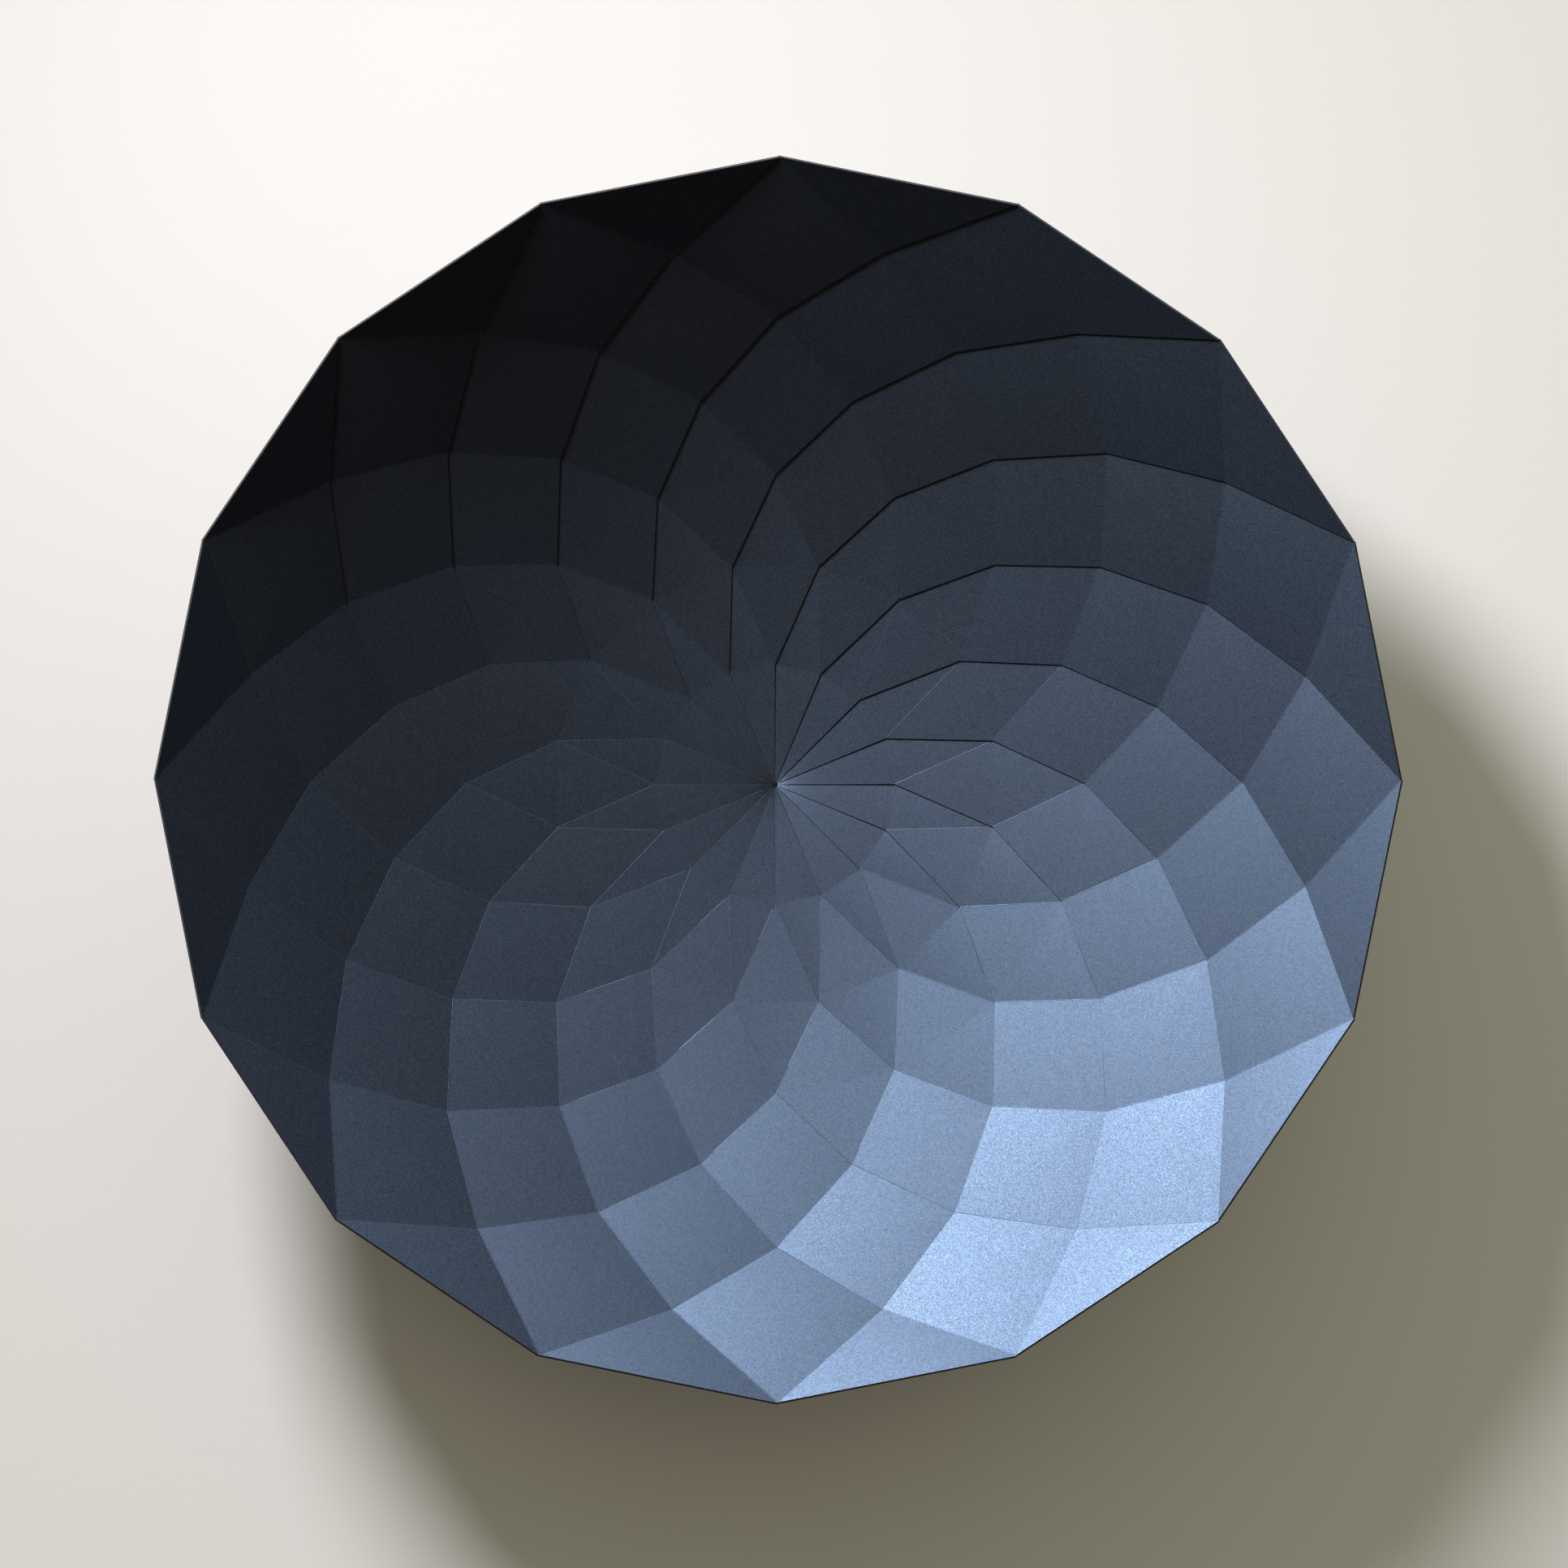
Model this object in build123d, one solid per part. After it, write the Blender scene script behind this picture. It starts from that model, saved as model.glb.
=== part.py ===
from build123d import *
from collections import namedtuple
from math import sqrt
import os

# A wall-hung dish of folded card. Identical strips wind clockwise from the apex out to the rim, each
# lapping the glue flap of the strip before it. Sizes are in millimetres and angles in degrees.

# The dish, measured on the front face of the card
rim_diameter = 305.0  # across opposite corners of the rim
dish_depth = 61.0  # from the point where the strips would meet to the plane of the rim
point_depth = 1.6  # how far that point is drawn back behind the round of the bowl
strip_count = 16
first_seam_angle = 90.0  # where the first seam leaves the apex, counter-clockwise from the right
ring_radius_shares = (0.211, 0.387, 0.534, 0.662, 0.780, 0.886, 1.0)  # of the rim's radius

# The card and the way the strips lap
card = 0.35  # thickness of the card
glue_gap = 0.06  # between the back of a strip and the flap that it lies on
seam_gap = 0.05  # between a cut edge and the seam line

# The tips, which lie on each other like the blades of a fan and so twist towards the apex
tip_radii = (18.0, 11.0, 6.5, 3.6, 1.9)
tip_lap_shares = (0.70, 0.62, 0.58, 0.52, 0.42)  # of a full lap, at each of the tip's radii
apex_hole = 1.6  # diameter left open between the tips
apex_lap_share = 0.25  # of a full lap, at the edge of the hole

# The glue flaps
flap_width = 6.0
flap_width_share = 0.3  # of the flap's fold, the most that a short flap is wide
flap_end_gap = 1.5  # from a corner of the strip to the end of the flap's fold
flap_taper_share = 0.38  # of the flap's fold, cut away at each end

rim_radius = rim_diameter / 2
ring_radii = [rim_radius * share for share in ring_radius_shares]
ring_count = len(ring_radii)
tip_count = len(tip_radii) + 1
pitch = 360.0 / strip_count
full_lap = card + glue_gap
flap_root = card  # how far a flap runs into the edge that it is folded from

Station = namedtuple("Station", "radius height turn lap")  # of a corner along a seam


def bowl_height(radius):
    """Height of the front face over the apex: a round bowl whose middle is drawn back to a point."""
    bowl_depth = dish_depth - point_depth
    bowl_radius = (rim_radius**2 + bowl_depth**2) / (2 * bowl_depth)
    return point_depth + bowl_radius - sqrt(bowl_radius**2 - radius**2)


def seam_stations():
    """Corners along a seam, from the hole at the apex to the rim; each ring turns half a pitch clockwise."""
    first_slope = bowl_height(ring_radii[0]) / ring_radii[0]
    radii = [apex_hole / 2] + list(tip_radii[::-1])
    laps = [full_lap * share for share in (apex_lap_share,) + tip_lap_shares[::-1]]
    stations = [Station(radius, radius * first_slope, 0, lap) for radius, lap in zip(radii, laps)]
    for ring, radius in enumerate(ring_radii):
        stations.append(Station(radius, bowl_height(radius), -pitch / 2 * ring, full_lap))
    return stations


def seam_corners(seam):
    corners = []
    for station in seam_stations():
        angle = first_seam_angle + pitch * seam + station.turn
        corners.append(Vector(station.radius, 0, station.height).rotate(Axis.Z, angle))
    return corners


def facet_names(count):
    """Triangles of a strip, as names of corners on its cut and its folded edge.

    Between two stations the card folds from the inner corner of the cut edge to the outer one of the
    folded edge, and it bows from edge to edge at each station.
    """
    facets = []
    for n in range(count - 1):
        facets.append((("cut", n), ("folded", n + 1), ("folded", n)))
        facets.append((("cut", n), ("cut", n + 1), ("folded", n + 1)))
    return facets


def front_normal(first, second, third):
    """Normal of a triangle, towards the front."""
    normal = (second - first).cross(third - first).normalized()
    return normal if normal.Z > 0 else -normal


def corner_normals(corners, facets):
    """At each corner, the mean of the normals of the facets that meet there."""
    sums = {}
    for facet in facets:
        normal = front_normal(*[corners[name] for name in facet])
        for name in facet:
            sums[name] = sums.get(name, Vector(0, 0, 0)) + normal
    return {name: total.normalized() for name, total in sums.items()}


def strip_corners(facets):
    """Front corners of a strip, its cut edge standing one lap proud of the seam."""
    corners = {}
    for n, (cut, folded) in enumerate(zip(seam_corners(0), seam_corners(1))):
        corners["cut", n] = cut
        corners["folded", n] = folded
    normals = corner_normals(corners, facets)
    for n, station in enumerate(seam_stations()):
        raised = corners["cut", n] + normals["cut", n] * station.lap
        inwards = (corners["folded", n] - raised).normalized()
        corners["cut", n] = raised + inwards * seam_gap
    return corners


def polygon(corners):
    return Face(Wire.make_polygon(corners))


def folded_sheet(corners, facets, border):
    """Solid of one card thickness behind a chain of facets, with plain cut edges round its border."""
    normals = corner_normals(corners, facets)
    back = {name: corners[name] - normals[name] * card for name in corners}
    faces = []
    for facet in facets:
        faces.append(polygon([corners[name] for name in facet]))
        faces.append(polygon([back[name] for name in facet]))
    for start, end in zip(border, border[1:] + border[:1]):
        faces.append(polygon([corners[start], corners[end], back[end]]))
        faces.append(polygon([corners[start], back[end], back[start]]))
    return Solid(Shell(faces))


def glue_flap(inner, outer, neighbour):
    """Flap folded along the edge from inner to outer, lying behind a facet of the next strip."""
    seat = neighbour.offset(-full_lap)
    along = (outer - inner).normalized()
    fold = []
    for corner in (inner + along * flap_end_gap, outer - along * flap_end_gap):
        fold.append(corner - seat.z_dir * (corner - seat.origin).dot(seat.z_dir))
    length = (fold[1] - fold[0]).length
    across = seat.z_dir.cross(fold[1] - fold[0]).normalized()
    taper = (fold[1] - fold[0]) * flap_taper_share
    root = across * flap_root
    reach = across * min(flap_width, length * flap_width_share)
    outline = [fold[0] - root, fold[1] - root, fold[1]]
    outline += [fold[1] - taper + reach, fold[0] + taper + reach, fold[0]]
    return extrude(polygon(outline), amount=card, dir=-seat.z_dir)


def make_strip():
    """One strip with its folds and flaps, in a frame with the dish's axis upright."""
    count = tip_count + ring_count
    facets = facet_names(count)
    corners = strip_corners(facets)
    border = [("cut", n) for n in range(count)] + [("folded", n) for n in reversed(range(count))]
    strip = folded_sheet(corners, facets, border)
    for n in range(tip_count - 1, count - 1):
        facet = (("cut", n), ("cut", n + 1), ("folded", n + 1))
        over = [corners[name].rotate(Axis.Z, pitch) for name in facet]
        neighbour = Plane(origin=over[0], z_dir=front_normal(*over))
        strip += glue_flap(corners["folded", n], corners["folded", n + 1], neighbour)
    return strip


def main():
    os.makedirs("parts", exist_ok=True)
    strip = make_strip()
    wall = strip.bounding_box().min.Z
    hung = Rot(90, 0, 0) * Pos(0, 0, -wall)
    for number in range(strip_count):
        turned = hung * Rot(0, 0, pitch * number) * strip
        export_step(turned, f"parts/strip_{number + 1:02d}.step")


main()
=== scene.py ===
import bmesh
import bpy
import math
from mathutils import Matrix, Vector


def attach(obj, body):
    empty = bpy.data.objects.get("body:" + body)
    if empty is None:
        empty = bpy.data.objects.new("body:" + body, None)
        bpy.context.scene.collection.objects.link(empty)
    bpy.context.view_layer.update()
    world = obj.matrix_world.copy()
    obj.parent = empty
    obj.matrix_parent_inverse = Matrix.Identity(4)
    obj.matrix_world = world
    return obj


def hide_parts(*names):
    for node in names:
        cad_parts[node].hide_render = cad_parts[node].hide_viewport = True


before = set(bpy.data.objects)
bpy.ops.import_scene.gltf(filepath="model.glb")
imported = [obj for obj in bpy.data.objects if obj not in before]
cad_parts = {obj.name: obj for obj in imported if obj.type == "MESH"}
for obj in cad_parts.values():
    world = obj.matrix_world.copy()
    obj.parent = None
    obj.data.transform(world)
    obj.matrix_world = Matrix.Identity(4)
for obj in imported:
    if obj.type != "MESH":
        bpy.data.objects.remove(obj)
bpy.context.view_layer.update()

# Lengths are in metres, in the part's own frame: the wall lies at Y = 0 and the open front looks along -Y.
MM = 0.001

# The camera stands square to the wall, a little left of the dish's axis and a little below it.
PHOTO_PIXELS = 1932
FOCAL_PIXELS = 3000
SENSOR_WIDTH = 36.0
AXIS_POINT_PIXEL = (915, 1024)
CAMERA_PLACE = Vector((-8.7, -657.1, -12.5)) * MM
NEAREST_SEEN = 0.01
FARTHEST_SEEN = 20.0

# The card and how its folds and edges are finished
CARD = 0.35 * MM
FOLD_ROUNDING = 0.12 * MM
FOLD_SEGMENTS = 2
FOLD_BEAD = 0.028 * MM  # how far the bead of a scored fold stands up on the front
EDGE_ROUNDING = 0.055 * MM
EDGE_SEGMENTS = 1
RIM_LIP = 0.5 * MM

# How the parts of a strip are told apart; the first three are distances from the dish's axis
TIP_END = 3 * MM
FIRST_FOLD = 30 * MM
RIM = 151 * MM
LEVEL = 3 * MM  # the ends of an edge along a ring differ by less than this in their distance
SHORTEST_BOW = 5 * MM
FLAT_ANGLE = math.radians(0.1)
LARGEST_FOLD_ANGLE = math.radians(40)
EDGE_FACING = 0.7  # a face that looks less than this along the axis is a cut one
WELD = 0.002 * MM
FACE, CUT = 0, 1  # material slots of a strip

# Pearl flecks on the card, from smooth ones to rough ones
FLECK = 0.20 * MM
FLECK_SHINE = (0.75, 1.25)
FLECK_TILT = 0.2
FLECK_RELIEF = 0.03 * MM
FLECK_ROUGHNESS = (0.48, 0.60)
SMOOTH_FLECK = (0.095, 0.146, 0.243, 1)
ROUGH_FLECK = (0.115, 0.147, 0.200, 1)

# Fibres in the cut edges
FIBRE = 0.2 * MM
FIBRE_DETAIL = 3.0
DARK_FIBRE = (0.050, 0.054, 0.062, 1)
PALE_FIBRE = (0.115, 0.121, 0.132, 1)
FIBRE_ROUGHNESS = 0.85

# Wall
WALL_GAP = 1.5 * MM
WALL_SIDE = 4.0
WALL_COLOUR = (0.862, 0.836, 0.860, 1)
ROLLER_GRAIN = 3 * MM
ROLLER_DETAIL = 2.0
ROLLER_STRENGTH = 0.12
ROLLER_RELIEF = 0.2 * MM
# Painted fill light that the camera sees on the wall, dimmed as painted shade where the dish would hide the
# ceiling
PAINTED_WALL_FILL = (0.194, 0.206, 0.158, 1)
PAINTED_FILL_FROM = (0.25, -0.35, 0.90)
PAINTED_SHADE_REACH = 250 * MM
PAINTED_FILL_BEGINS = (60 * MM, 110 * MM)  # from the axis; nearer to it the painted fill fades out, a painted shade behind the dish
# Painted light on the wall for the card to mirror, brighter with height; PALE is its colour and that of the
# backdrop beyond the wall
MIRRORED_HEIGHTS = (-200 * MM, 250 * MM)
MIRRORED_LEVELS = (0.12, 0.9)
PALE = (0.86, 0.85, 0.83, 1)

# Lamp and room
LAMP_PLACE = Vector((-228, -311, 397)) * MM
LAMP_AIM = Vector((365, 0, -450)) * MM
LAMP_ACROSS = 160 * MM
LAMP_POWER = 13.6
ROOM_SIDES = (0.030, 0.015, 0.004, 1)
ROOM_FRONT = (0.160, 0.098, 0.062, 1)
ROOM_NARROWING = 8.0


def feed(tree, socket, value):
    """Links another node's output to a socket, or sets a plain value on it."""
    if isinstance(value, bpy.types.NodeSocket):
        tree.links.new(value, socket)
    else:
        socket.default_value = value


def new_node(tree, kind, **values):
    """A new node with its named inputs fed."""
    node = tree.nodes.new(kind)
    for name, value in values.items():
        feed(tree, node.inputs[name.replace("_", " ")], value)
    return node


def math_node(tree, operation, first, second):
    node = tree.nodes.new("ShaderNodeMath")
    node.operation = operation
    feed(tree, node.inputs[0], first)
    feed(tree, node.inputs[1], second)
    return node.outputs[0]


def vector_node(tree, operation, vector):
    node = tree.nodes.new("ShaderNodeVectorMath")
    node.operation = operation
    feed(tree, node.inputs[0], vector)
    return node


def mixed_colour(tree, share, first, second):
    """A mix of two colours, which that node takes at its inputs 6 and 7 and gives at its output 2."""
    node = tree.nodes.new("ShaderNodeMix")
    node.data_type = "RGBA"
    feed(tree, node.inputs[0], share)
    feed(tree, node.inputs[6], first)
    feed(tree, node.inputs[7], second)
    return node.outputs[2]


def spread(tree, value, new_range, old_range=(0, 1)):
    """Maps a value from its old range to a new one, and keeps it within that."""
    low, high = new_range
    start, end = old_range
    node = new_node(
        tree, "ShaderNodeMapRange", Value=value, From_Min=start, From_Max=end, To_Min=low, To_Max=high
    )
    return node.outputs["Result"]


def object_place(tree):
    return tree.nodes.new("ShaderNodeTexCoord").outputs["Object"]


def new_material(name):
    material = bpy.data.materials.new(name)
    material.use_nodes = True
    material.node_tree.nodes.clear()
    return material, material.node_tree


def close_material(tree, shader):
    new_node(tree, "ShaderNodeOutputMaterial", Surface=shader)


def pearl_card():
    """Dark blue card with a pearl coat of small flecks, each with its own tilt, shine and roughness."""
    material, tree = new_material("pearl_card")
    fleck = new_node(tree, "ShaderNodeTexVoronoi", Vector=object_place(tree), Scale=1 / FLECK)
    chance = new_node(tree, "ShaderNodeSeparateColor", Color=fleck.outputs["Color"]).outputs
    colour = mixed_colour(tree, chance["Blue"], SMOOTH_FLECK, ROUGH_FLECK)
    shine = vector_node(tree, "SCALE", colour)
    feed(tree, shine.inputs["Scale"], spread(tree, chance["Red"], FLECK_SHINE))
    tilt = new_node(
        tree, "ShaderNodeBump", Strength=FLECK_TILT, Distance=FLECK_RELIEF, Height=chance["Green"]
    )
    surface = new_node(
        tree,
        "ShaderNodeBsdfPrincipled",
        Base_Color=shine.outputs[0],
        Metallic=1.0,
        Roughness=spread(tree, chance["Blue"], FLECK_ROUGHNESS),
        Normal=tilt.outputs[0],
    )
    close_material(tree, surface.outputs[0])
    return material


def cut_edge():
    """The dull fibre core that shows where the card is cut."""
    material, tree = new_material("cut_edge")
    place = object_place(tree)
    fibre = new_node(tree, "ShaderNodeTexNoise", Vector=place, Scale=1 / FIBRE, Detail=FIBRE_DETAIL)
    colour = mixed_colour(tree, fibre.outputs["Fac"], DARK_FIBRE, PALE_FIBRE)
    surface = new_node(tree, "ShaderNodeBsdfPrincipled", Base_Color=colour, Roughness=FIBRE_ROUGHNESS)
    close_material(tree, surface.outputs[0])
    return material


def painted_fill_level(tree, place):
    """How strong the painted fill light is at a point on the wall past the dish: painted shade where the dish
    would keep the ceiling's light out, and none close to the axis.
    """
    lean = new_node(tree, "ShaderNodeCombineXYZ", X=PAINTED_FILL_FROM[0], Y=PAINTED_FILL_FROM[1], Z=PAINTED_FILL_FROM[2])
    shade = new_node(tree, "ShaderNodeAmbientOcclusion", Distance=PAINTED_SHADE_REACH, Normal=lean.outputs[0])
    behind_wall = (1 + PAINTED_FILL_FROM[1]) / 2  # share of the directions about the lean that nothing can shade
    open_share = spread(tree, shade.outputs["AO"], (0, 1), (behind_wall, 1))
    from_axis = vector_node(tree, "LENGTH", place).outputs["Value"]
    return math_node(tree, "MULTIPLY", spread(tree, from_axis, (0, 1), PAINTED_FILL_BEGINS), open_share)


def painted_mirrored_light(tree, place, path):
    """Painted light on the wall for the rays that the card mirrors, brighter with height as if lit from
    above.
    """
    mirrored = math_node(tree, "ADD", path["Is Glossy Ray"], path["Is Transmission Ray"])
    at_first_hand = math_node(tree, "LESS_THAN", path["Diffuse Depth"], 0.5)
    mirrored = math_node(tree, "MULTIPLY", mirrored, at_first_hand)
    height = new_node(tree, "ShaderNodeSeparateXYZ", Vector=place).outputs["Z"]
    return math_node(tree, "MULTIPLY", mirrored, spread(tree, height, MIRRORED_LEVELS, MIRRORED_HEIGHTS))


def wall_paint_and_painted_light():
    """Pale matt wall paint with a faint roller texture, clear from behind so that the back can be seen. It
    glows with painted light: a painted fill for the camera, dimmed as painted shade near the dish, and a
    painted light, brighter with height, for the card to mirror.
    """
    material, tree = new_material("wall_paint_and_painted_light")
    place = object_place(tree)
    roller = new_node(
        tree, "ShaderNodeTexNoise", Vector=place, Scale=1 / ROLLER_GRAIN, Detail=ROLLER_DETAIL
    )
    relief = new_node(
        tree,
        "ShaderNodeBump",
        Strength=ROLLER_STRENGTH,
        Distance=ROLLER_RELIEF,
        Height=roller.outputs["Fac"],
    )
    paint = new_node(tree, "ShaderNodeBsdfDiffuse", Color=WALL_COLOUR, Normal=relief.outputs[0])
    path = tree.nodes.new("ShaderNodeLightPath").outputs
    # Painted fill light and painted shade that the camera sees on the wall, and painted light for the card to
    # mirror
    seen = math_node(tree, "MULTIPLY", path["Is Camera Ray"], painted_fill_level(tree, place))
    painted_light = new_node(
        tree,
        "ShaderNodeEmission",
        Color=mixed_colour(tree, path["Is Camera Ray"], PALE, PAINTED_WALL_FILL),
        Strength=math_node(tree, "ADD", seen, painted_mirrored_light(tree, place, path)),
    )
    lit = tree.nodes.new("ShaderNodeAddShader")
    feed(tree, lit.inputs[0], paint.outputs[0])
    feed(tree, lit.inputs[1], painted_light.outputs[0])
    clear = tree.nodes.new("ShaderNodeBsdfTransparent")
    side = tree.nodes.new("ShaderNodeNewGeometry")
    both = new_node(tree, "ShaderNodeMixShader", Fac=side.outputs["Backfacing"])
    feed(tree, both.inputs[1], lit.outputs[0])
    feed(tree, both.inputs[2], clear.outputs[0])
    close_material(tree, both.outputs[0])
    return material


def face_width(face):
    return face.calc_area() / max(edge.calc_length() for edge in face.edges)


def along_axis(face):
    return face.normal.y


def radius(vert):
    """Distance from the dish's axis."""
    return math.hypot(vert.co.x, vert.co.z)


def edge_radii(edge):
    return sorted(radius(vert) for vert in edge.verts)


def joins_two(edge, least_width):
    """Whether an edge joins two faces that are at least so wide."""
    return len(edge.link_faces) == 2 and min(face_width(face) for face in edge.link_faces) >= least_width


def is_fold(edge):
    """An edge where the card is creased: it joins two broad faces and runs from one ring to the next."""
    if not joins_two(edge, CARD):
        return False
    inner, outer = edge_radii(edge)
    if inner < FIRST_FOLD or outer - inner < LEVEL:
        return False
    return FLAT_ANGLE < edge.calc_face_angle() < LARGEST_FOLD_ANGLE


def is_bow(edge):
    """An edge across which the card only bows: along a ring, or in the twisted tip."""
    if not joins_two(edge, CARD / 2):
        return False
    inner, outer = edge_radii(edge)
    along_ring = outer - inner < LEVEL and edge.calc_length() > SHORTEST_BOW
    if inner > FIRST_FOLD and not along_ring:
        return False
    return edge.calc_face_angle() < LARGEST_FOLD_ANGLE


def is_seam_edge(edge, corners):
    """A front edge of the strip along a seam: it joins two corners, and a broad face meets a cut one."""
    if len(edge.link_faces) != 2 or not all(vert in corners for vert in edge.verts):
        return False
    inner = edge_radii(edge)[0]
    if inner < TIP_END or inner > RIM:
        return False
    cut, broad = sorted(edge.link_faces, key=face_width)
    return cut.material_index == CUT and broad.normal.y < -EDGE_FACING


def is_back_rim(edge):
    """The long edge where the back of the strip meets its cut edge at the rim."""
    if edge_radii(edge)[0] < RIM or edge.calc_length() < SHORTEST_BOW:
        return False
    return max(along_axis(face) for face in edge.link_faces) >= EDGE_FACING


def looks_clockwise(face):
    """Whether a face looks clockwise about the dish's axis, as seen from the front."""
    middle = face.calc_center_median()
    return middle.x * face.normal.z - middle.z * face.normal.x < 0


def rounded_edges(shape, edges, offset, segments):
    done = bmesh.ops.bevel(
        shape,
        geom=edges,
        offset=offset,
        offset_type="OFFSET",
        segments=segments,
        profile=0.5,
        affect="EDGES",
        material=-1,
    )
    return done["faces"]


def whole_facets(node):
    """A copy of the strip's solid, with its triangles joined to whole facets."""
    shape = bmesh.new()
    shape.from_mesh(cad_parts[node].data)
    bmesh.ops.remove_doubles(shape, verts=shape.verts, dist=WELD)
    bmesh.ops.dissolve_limit(shape, angle_limit=FLAT_ANGLE, verts=shape.verts, edges=shape.edges)
    return shape


def add_rim_lip(shape):
    """Turns the card back a little along the rim, where the photo shows an edge broader than the card."""
    rim = next(edge for edge in shape.edges if is_back_rim(edge))
    cut, back = sorted(rim.link_faces, key=along_axis)
    outwards = cut.normal.copy()
    backwards = back.normal.copy()
    bmesh.ops.bisect_plane(
        shape,
        geom=[back, *back.edges, *back.verts],
        plane_co=rim.verts[0].co - outwards * CARD,
        plane_no=outwards,
    )
    shape.normal_update()
    band = max(rim.link_faces, key=along_axis)
    for face in bmesh.ops.extrude_discrete_faces(shape, faces=[band])["faces"]:
        bmesh.ops.translate(shape, verts=face.verts, vec=backwards * RIM_LIP)
    shape.normal_update()


def mark_cut_faces(shape):
    for face in shape.faces:
        face.material_index = CUT if abs(face.normal.y) < EDGE_FACING else FACE


def round_seams(shape):
    """Takes the sharpness off the front edges at the seams: the clockwise ones are cut, the others folded."""
    corners = {vert for vert in shape.verts if radius(vert) > RIM}
    corners |= {vert for edge in shape.edges if is_fold(edge) or is_bow(edge) for vert in edge.verts}
    seams = [edge for edge in shape.edges if is_seam_edge(edge, corners)]
    for face in rounded_edges(shape, seams, EDGE_ROUNDING, EDGE_SEGMENTS):
        face.material_index = CUT if looks_clockwise(face) else FACE


def round_folds(shape):
    """Rounds the folds and raises the low bead along the front of each."""
    folds = [edge for edge in shape.edges if is_fold(edge)]
    creased = set(rounded_edges(shape, folds, FOLD_ROUNDING, FOLD_SEGMENTS))
    shape.normal_update()
    beads = set()
    for face in creased:
        face.material_index = FACE
        for edge in face.edges:
            inside = all(other in creased and other.normal.y < 0 for other in edge.link_faces)
            if inside and edge.calc_length() > SHORTEST_BOW:
                beads.update(edge.verts)
    for vert in beads:
        vert.co += vert.normal * FOLD_BEAD


def smooth_bows(shape):
    for face in shape.faces:
        face.smooth = True
    for edge in shape.edges:
        edge.smooth = is_bow(edge)


def linked_object(name, shape, materials):
    """An object made from a finished shape, which is freed."""
    mesh = bpy.data.meshes.new(name)
    shape.to_mesh(mesh)
    shape.free()
    for material in materials:
        mesh.materials.append(material)
    made = bpy.data.objects.new(name, mesh)
    bpy.context.scene.collection.objects.link(made)
    return made


def strips():
    """Every strip with its folds and edges rounded, its bows smooth and its cut edges marked."""
    materials = [pearl_card(), cut_edge()]
    for node in sorted(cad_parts):
        shape = whole_facets(node)
        add_rim_lip(shape)
        mark_cut_faces(shape)
        round_seams(shape)
        round_folds(shape)
        smooth_bows(shape)
        piece = linked_object(node + "_card", shape, materials)
        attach(piece, "root")
        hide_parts(node)


def wall():
    shape = bmesh.new()
    bmesh.ops.create_grid(shape, x_segments=1, y_segments=1, size=WALL_SIDE / 2)
    for vert in shape.verts:
        vert.co = Vector((vert.co.x, WALL_GAP, vert.co.y))
    linked_object("wall", shape, [wall_paint_and_painted_light()])


def lamp():
    """A soft lamp high on the left, aimed past the dish so that it lights the wall evenly."""
    data = bpy.data.lights.new("lamp", "AREA")
    data.shape = "DISK"
    data.size = LAMP_ACROSS
    data.energy = LAMP_POWER
    data.use_nodes = True
    tree = data.node_tree
    falloff = new_node(tree, "ShaderNodeLightFalloff", Strength=1.0)
    feed(tree, tree.nodes["Emission"].inputs["Strength"], falloff.outputs["Constant"])
    holder = bpy.data.objects.new("lamp", data)
    holder.location = LAMP_PLACE
    holder.rotation_euler = (LAMP_AIM - LAMP_PLACE).to_track_quat("-Z", "Y").to_euler()
    bpy.context.scene.collection.objects.link(holder)


def room():
    """Dim warm light from the room, most of it from the front, and a pale backdrop beyond the wall."""
    world = bpy.data.worlds.new("room")
    bpy.context.scene.world = world
    world.use_nodes = True
    tree = world.node_tree
    facing = vector_node(tree, "DOT_PRODUCT", tree.nodes.new("ShaderNodeTexCoord").outputs["Generated"])
    facing.inputs[1].default_value = (0, -1, 0)
    ahead = math_node(tree, "MAXIMUM", facing.outputs["Value"], 0.0)
    front = math_node(tree, "POWER", ahead, ROOM_NARROWING)
    dim = mixed_colour(tree, front, ROOM_SIDES, ROOM_FRONT)
    path = tree.nodes.new("ShaderNodeLightPath").outputs
    colour = mixed_colour(tree, path["Is Camera Ray"], dim, PALE)
    feed(tree, tree.nodes["Background"].inputs["Color"], colour)


def camera():
    data = bpy.data.cameras.new("camera")
    data.sensor_width = SENSOR_WIDTH
    data.lens = SENSOR_WIDTH * FOCAL_PIXELS / PHOTO_PIXELS
    data.shift_x = (PHOTO_PIXELS / 2 - AXIS_POINT_PIXEL[0]) / PHOTO_PIXELS
    data.shift_y = (AXIS_POINT_PIXEL[1] - PHOTO_PIXELS / 2) / PHOTO_PIXELS
    data.clip_start = NEAREST_SEEN
    data.clip_end = FARTHEST_SEEN
    holder = bpy.data.objects.new("camera", data)
    holder.location = CAMERA_PLACE
    holder.rotation_euler = (math.radians(90), 0, 0)
    bpy.context.scene.collection.objects.link(holder)
    bpy.context.scene.camera = holder


strips()
wall()
lamp()
room()
camera()
bpy.context.scene.view_settings.view_transform = "Standard"
